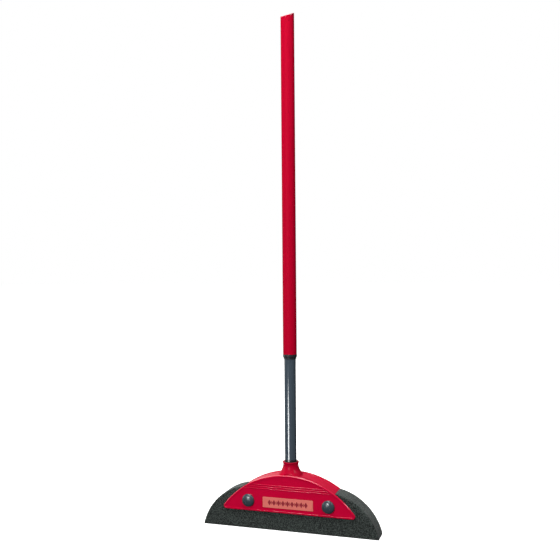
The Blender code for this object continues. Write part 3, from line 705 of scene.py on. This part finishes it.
def guide_collar():
    """A bush in the outer tube's mouth, with a flange and a narrower ring under it."""
    bush, bore, flange, ring, bush_top = 11.65, 10.85, 12.75, 11.6, 359.4
    profile = rounded(
        [
            (bush, bush_top), (bush, GUIDE_TOP, 0),
            (flange, GUIDE_TOP, 0.25), (flange, GUIDE_STEP + 0.8, 0.4), (flange - 0.8, GUIDE_STEP, 0.2),
            (ring, GUIDE_STEP, 0.1), (ring, GUIDE_BOTTOM, 0.35), (bore, GUIDE_BOTTOM, 0.2), (bore, bush_top),
        ],
        0.3, closed=True, steps=4,
    )
    collar = lathe("guide_collar_fine", profile, DARK_PLASTIC, closed=True)
    finished(collar, "upper_handle", "dark_plastic", "guide_collar")


def outer_tube():
    top = 937.5
    ends = [(OUTER_TUBE_BORE, GUIDE_TOP + 0.3), (OUTER_TUBE_RADIUS, GUIDE_TOP + 0.3)]
    ends += [(OUTER_TUBE_RADIUS, top), (OUTER_TUBE_BORE, top)]
    profile = rounded(ends, 0.15, closed=True)
    tube = lathe("outer_tube_fine", profile, RED_PAINT, closed=True, slant_from=SLANT_FROM)
    finished(tube, "upper_handle", "red_painted_steel", "outer_tube")


def end_cap():
    """A slanted lid on a plug that is hollow from below."""
    top, under, plug, hollow, foot = 939.8, 937.8, 11.65, 9.65, 906.8
    profile = rounded(
        [
            (0, top), (OUTER_TUBE_RADIUS, top, 0.5), (OUTER_TUBE_RADIUS, under, 0.2), (plug, under, 0),
            (plug, foot, 0.3), (hollow, foot, 0.3), (hollow, foot + 13, 0.3), (0, foot + 13),
        ],
        0.3,
    )
    cap = lathe("end_cap_fine", profile, RED_PLASTIC, slant_from=SLANT_FROM)
    finished(cap, "upper_handle", "red_plastic", "end_cap")


def washer():
    outer, bore, bottom = 12.3, 9.9, 122.5
    section = [(outer, NECK_TOP), (outer, bottom), (bore, bottom), (bore, NECK_TOP)]
    profile = rounded(section, 0.25, closed=True)
    ring = lathe("socket_washer_fine", profile, RUBBER, closed=True)
    finished(ring, "socket_washer", "rubber", "socket_washer")


foam_block()
bridge()
for end, side in (("front", -1), ("rear", 1)):
    plate(end, side)
    badge(end, side)
studs()
ferrule()
inner_tube()
guide_collar()
outer_tube()
end_cap()
washer()
for name, look in (
    ("lock_plug", WHITE_PLASTIC), ("lock_sleeve", WHITE_PLASTIC), ("lock_cone", WHITE_PLASTIC),
    ("lock_stud", ZINC), ("lock_stop", ZINC),
):
    frame["nodes"][name].material_slots[0].material = look


# Floor, light and camera


def floor():
    """A wide floor that shows white and lights nothing by bounce or mirror."""
    maker = bmesh.new()
    size = 40000
    corners = ((-size, -size), (size, -size), (size, size), (-size, size))
    maker.faces.new([maker.verts.new((x, y, 0)) for x, y in corners])
    made = piece("floor", maker, None)
    look = bpy.data.materials.new("floor_look")
    look.use_nodes = True
    shader = look.node_tree.nodes["Principled BSDF"]
    shader.inputs["Base Color"].default_value = (0.6, 0.6, 0.6, 1)
    shader.inputs["Roughness"].default_value = 0.9
    shader.inputs["Specular IOR Level"].default_value = 0.1
    shader.inputs["Emission Color"].default_value = (1, 1, 1, 1)
    shader.inputs["Emission Strength"].default_value = 0.85
    made.data.materials.append(look)
    made.visible_diffuse = False
    made.visible_glossy = False


def world():
    """White to the camera. To the rest, a dim room, lighter overhead, with a low backdrop behind at left."""
    made = bpy.data.worlds.new("studio")
    bpy.context.scene.world = made
    made.use_nodes = True
    tree = made.node_tree
    tree.nodes.clear()
    output = tree.nodes.new("ShaderNodeOutputWorld")
    path = tree.nodes.new("ShaderNodeLightPath")
    mix = tree.nodes.new("ShaderNodeMixShader")
    seen = node(tree, "ShaderNodeBackground", Color=(1, 1, 1, 1), Strength=1.0)
    where = tree.nodes.new("ShaderNodeTexCoord")
    parts = tree.nodes.new("ShaderNodeSeparateXYZ")
    tree.links.new(where.outputs["Generated"], parts.inputs["Vector"])

    def mapped(source, low, high, at_low, at_high):
        scale = tree.nodes.new("ShaderNodeMapRange")
        scale.interpolation_type = "SMOOTHSTEP"
        for name, value in (("From Min", low), ("From Max", high), ("To Min", at_low), ("To Max", at_high)):
            scale.inputs[name].default_value = value
        tree.links.new(source, scale.inputs["Value"])
        return scale.outputs["Result"]

    def joined(operation, a, b):
        made = tree.nodes.new("ShaderNodeMath")
        made.operation = operation
        tree.links.new(a, made.inputs[0])
        tree.links.new(b, made.inputs[1])
        return made.outputs["Value"]

    height = parts.outputs["Z"]
    above = mapped(height, -0.35, 1.0, 0.02, 0.3)
    behind = mapped(parts.outputs["Y"], 0.1, 0.8, 0.0, 1.8)
    low = joined("MULTIPLY", mapped(height, -0.2, -0.02, 0, 1), mapped(height, 0.03, 0.28, 1, 0))
    left = mapped(parts.outputs["X"], -0.36, -0.12, 1, 0)
    backdrop = joined("MULTIPLY", joined("MULTIPLY", behind, low), left)
    room = node(tree, "ShaderNodeBackground", Color=(1, 1, 1, 1))
    tree.links.new(joined("ADD", above, backdrop), room.inputs["Strength"])
    tree.links.new(path.outputs["Is Camera Ray"], mix.inputs["Fac"])
    tree.links.new(room.outputs["Background"], mix.inputs[1])
    tree.links.new(seen.outputs["Background"], mix.inputs[2])
    tree.links.new(mix.outputs["Shader"], output.inputs["Surface"])


def area_light(name, place, target, size, power, shape="RECTANGLE"):
    light = bpy.data.lights.new(name, "AREA")
    light.shape = shape
    light.size, light.size_y = size
    light.energy = power
    obj = bpy.data.objects.new(name, light)
    bpy.context.scene.collection.objects.link(obj)
    obj.location = place
    obj.rotation_euler = (Vector(target) - Vector(place)).to_track_quat("-Z", "Y").to_euler()
    obj.visible_camera = False
    return obj


def camera():
    """The photo's view: from the right, a little above, and turned a little."""
    yaw, pitch, roll = 0.313, 0.006, -0.008
    level_right = Vector((math.cos(yaw), math.sin(yaw), 0))
    level_ahead = Vector((-math.sin(yaw), math.cos(yaw), 0))
    ahead = level_ahead * math.cos(pitch) - Vector((0, 0, 1)) * math.sin(pitch)
    above = level_ahead * math.sin(pitch) + Vector((0, 0, 1)) * math.cos(pitch)
    right = level_right * math.cos(roll) + above * math.sin(roll)
    up = above * math.cos(roll) - level_right * math.sin(roll)
    data = bpy.data.cameras.new("camera")
    data.lens = 765.65 / 560 * 36
    data.sensor_width = 36
    obj = bpy.data.objects.new("camera", data)
    bpy.context.scene.collection.objects.link(obj)
    turn = Matrix((right, up, -ahead)).transposed().to_4x4()
    obj.matrix_world = Matrix.Translation((0.4149, -1.33755, 0.46395)) @ turn
    bpy.context.scene.camera = obj


floor()
world()
area_light("overhead", (-0.15, -0.2, 1.7), (0, -0.1, 0.1), (2.2, 0.5), 38)
area_light("key", (-0.5, -2.6, 0.95), (0, 0, 0.35), (0.9, 0.9), 52)
area_light("side", (-1.9, -0.2, 0.6), (0, 0, 0.4), (0.9, 1.0), 6)
back = area_light("back", (-0.6, 2.4, 1.2), (0, 0, 0.3), (1.2, 1.0), 24)
back.visible_glossy = False
area_light("rim", (1.7, -0.5, 1.45), (0, 0, 0.1), (0.9, 0.3), 9)
# These two only put a highlight on the pieces named below
strip = area_light("strip", (-0.234, -0.552, 0.02), (0, 0, 0.1), (0.24, 0.32), 4.5, shape="ELLIPSE")
glint = area_light("glint", (-0.15, -0.71, 0.06), (0, 0, 0.05), (0.16, 0.06), 0.5)
for light, shown in (
    (strip, ("inner_tube_fine", "thread_ferrule_fine")),
    (glint, ("front_stud_left_fine", "front_stud_right_fine")),
):
    light.visible_diffuse = False
    receivers = bpy.data.collections.new(f"lit_by_{light.name}")
    for name in shown:
        receivers.objects.link(bpy.data.objects[name])
    light.light_linking.receiver_collection = receivers
camera()
bpy.context.scene.view_settings.view_transform = "Standard"
